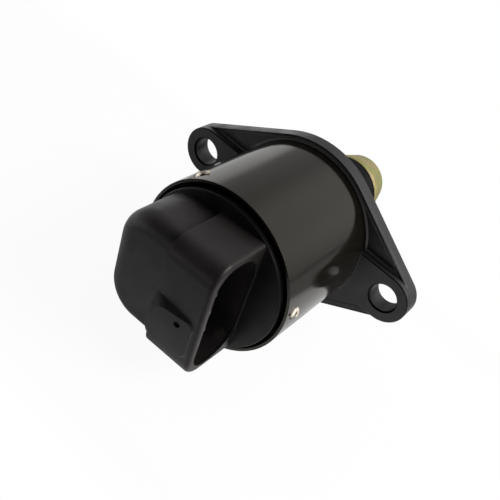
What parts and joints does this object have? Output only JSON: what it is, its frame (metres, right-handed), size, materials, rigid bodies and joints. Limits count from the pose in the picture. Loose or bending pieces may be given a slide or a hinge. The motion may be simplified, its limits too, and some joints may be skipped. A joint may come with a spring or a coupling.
{
  "type": "idle air control valve",
  "caption": "Idle air control valve: stepper motor in a black can on an eared flange, with a conical pintle on its snout and a moulded connector on its cap.",
  "frame": {"origin": "centre of the mounting face, on the valve axis", "axes": "+X through the two bolt holes, +Y along the valve axis towards the pintle, +Z square to both"},
  "size_m": [0.0638, 0.0749, 0.0388],
  "materials": {
    "flange_black": "satin black coat on a casting",
    "seal_rubber": "matt",
    "can_black": "gloss black coat on drawn steel",
    "cap_plastic": "moulded, matt",
    "pole_steel": "bright soft steel",
    "bobbin_plastic": "natural, moulded",
    "winding_copper": "enamelled copper wire",
    "bush_bronze": "sintered bronze",
    "washer_steel": "ground",
    "guide_plastic": "natural, moulded",
    "magnet_ferrite": "sintered, ground outside",
    "nut_plastic": "natural, moulded",
    "screw_steel": "rolled and ground",
    "pintle_chromate": "yellow chromate, slightly iridescent",
    "spring_steel": "drawn wire",
    "terminal_tin": "tinned"
  },
  "bodies": {
    "housing": {"mounting_flange": "flange_black", "pilot_o_ring": "seal_rubber", "motor_can": "can_black", "connector_cap": "cap_plastic", "cap_seal": "seal_rubber", "front_stator_cup": "pole_steel", "front_pole_plate": "pole_steel", "rear_pole_plate": "pole_steel", "rear_stator_cup": "pole_steel", "front_bobbin": "bobbin_plastic", "rear_bobbin": "bobbin_plastic", "front_winding": "winding_copper", "rear_winding": "winding_copper", "front_bush": "bush_bronze", "rear_bush": "bush_bronze", "front_thrust_washer": "washer_steel", "rear_thrust_washer": "washer_steel", "guide_bush": "guide_plastic", "pintle_spring": "spring_steel", "terminal_a": "terminal_tin", "terminal_b": "terminal_tin", "terminal_c": "terminal_tin", "terminal_d": "terminal_tin"},
    "rotor": {"rotor_magnet": "magnet_ferrite", "rotor_nut": "nut_plastic"},
    "plunger": {"lead_screw": "screw_steel", "pintle": "pintle_chromate"}
  },
  "joints": [
    {"name": "rotor_spin", "type": "hinge", "parent": "housing", "child": "rotor", "pos_m": [0, 0, 0], "axis": [0, 1, 0], "range_deg": [0, 2880]},
    {"name": "pintle_slide", "type": "slide", "parent": "housing", "child": "plunger", "axis": [0, 1, 0], "range_m": [0, 0.00801], "deforming": ["pintle_spring"]}
  ],
  "couplings": [
    {"joint": "pintle_slide", "follows": "rotor_spin", "m_per_rad": 0.00015915}
  ]
}
